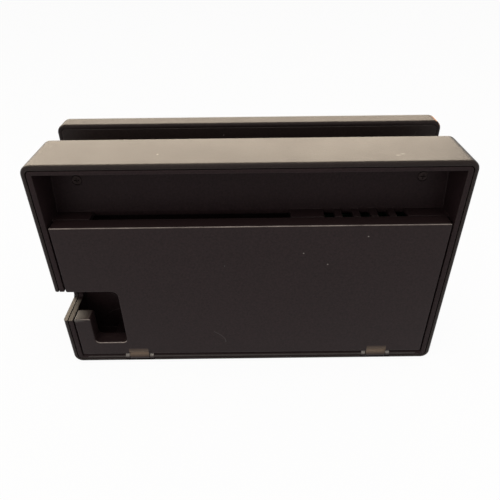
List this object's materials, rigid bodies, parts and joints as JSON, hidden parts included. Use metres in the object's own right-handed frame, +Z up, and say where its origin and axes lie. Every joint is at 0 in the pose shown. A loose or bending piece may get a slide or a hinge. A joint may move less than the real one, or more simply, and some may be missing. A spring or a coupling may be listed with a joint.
{
  "type": "handheld console dock",
  "caption": "Upright television dock for a flat handheld console, with an open-sided slot, charging plug, hinged rear cover over a cable bay, grip recess and side sockets.",
  "frame": {"origin": "middle of the footprint, on the table under the feet", "axes": "+Z up, front towards -Y, +X to the right seen from the front; the pictured rear faces +Y"},
  "size_m": [0.173, 0.054, 0.104],
  "materials": {
    "shell_plastic": "fine matte moulded texture",
    "housing_plastic": "fine matte moulded texture",
    "cover_plastic": "fine matte moulded texture",
    "screw_steel": "plain plated",
    "circuit_board": "solder mask",
    "socket_steel": "bright tin plate",
    "tongue_plastic": "moulded",
    "chip_resin": "moulded resin",
    "thermal_silicone": "soft pad",
    "shield_tin": "tin plate",
    "capacitor_can": "bright can",
    "inductor_ferrite": "pressed ferrite",
    "ribbon_film": "flat film",
    "connector_nylon": "moulded nylon",
    "bracket_steel": "zinc plate",
    "carrier_plastic": "moulded",
    "plug_steel": "polished sleeve",
    "spring_steel": "spring leaf",
    "cable_jacket": "smooth jacket",
    "clear_pipe": "clear moulding",
    "foot_rubber": "matt rubber"
  },
  "bodies": {
    "dock": {"board_screws": "screw_steel", "board_shield": "shield_tin", "bracket_screws": "screw_steel", "capacitors": "capacitor_can", "front_cover": "shell_plastic", "front_left_foot": "foot_rubber", "front_right_foot": "foot_rubber", "housing_screws": "screw_steel", "hub_chip": "chip_resin", "inductors": "inductor_ferrite", "led_board": "circuit_board", "led_cable": "cable_jacket", "led_socket": "connector_nylon", "light_pipe": "clear_pipe", "lower_side_socket": "socket_steel", "lower_side_socket_tongue": "tongue_plastic", "main_board": "circuit_board", "main_body": "shell_plastic", "main_ribbon_socket": "connector_nylon", "plug_bracket": "bracket_steel", "plug_cable": "cable_jacket", "plug_cable_socket": "connector_nylon", "plug_spring": "spring_steel", "power_socket": "socket_steel", "power_socket_tongue": "tongue_plastic", "rear_housing": "housing_plastic", "rear_left_foot": "foot_rubber", "rear_right_foot": "foot_rubber", "ribbon_cable": "ribbon_film", "side_board": "circuit_board", "side_board_screws": "screw_steel", "side_ribbon_socket": "connector_nylon", "thermal_pad": "thermal_silicone", "upper_side_socket": "socket_steel", "upper_side_socket_tongue": "tongue_plastic", "usb_socket": "socket_steel", "usb_socket_tongue": "tongue_plastic", "video_chip": "chip_resin", "video_socket": "socket_steel", "video_socket_tongue": "tongue_plastic"},
    "cover": {"rear_cover": "cover_plastic"},
    "plug": {"plug_carrier": "carrier_plastic", "dock_plug": "plug_steel"}
  },
  "joints": [
    {"name": "cover_hinge", "type": "hinge", "parent": "dock", "child": "cover", "pos_m": [0, 0.0251, 0.0032], "axis": [-1, 0, 0], "range_deg": [0, 90]},
    {"name": "plug_tilt", "type": "hinge", "parent": "dock", "child": "plug", "pos_m": [0, -0.0085, 0.011], "axis": [1, 0, 0], "range_deg": [-4, 4], "stiffness_Nm_per_rad": 0.02}
  ]
}
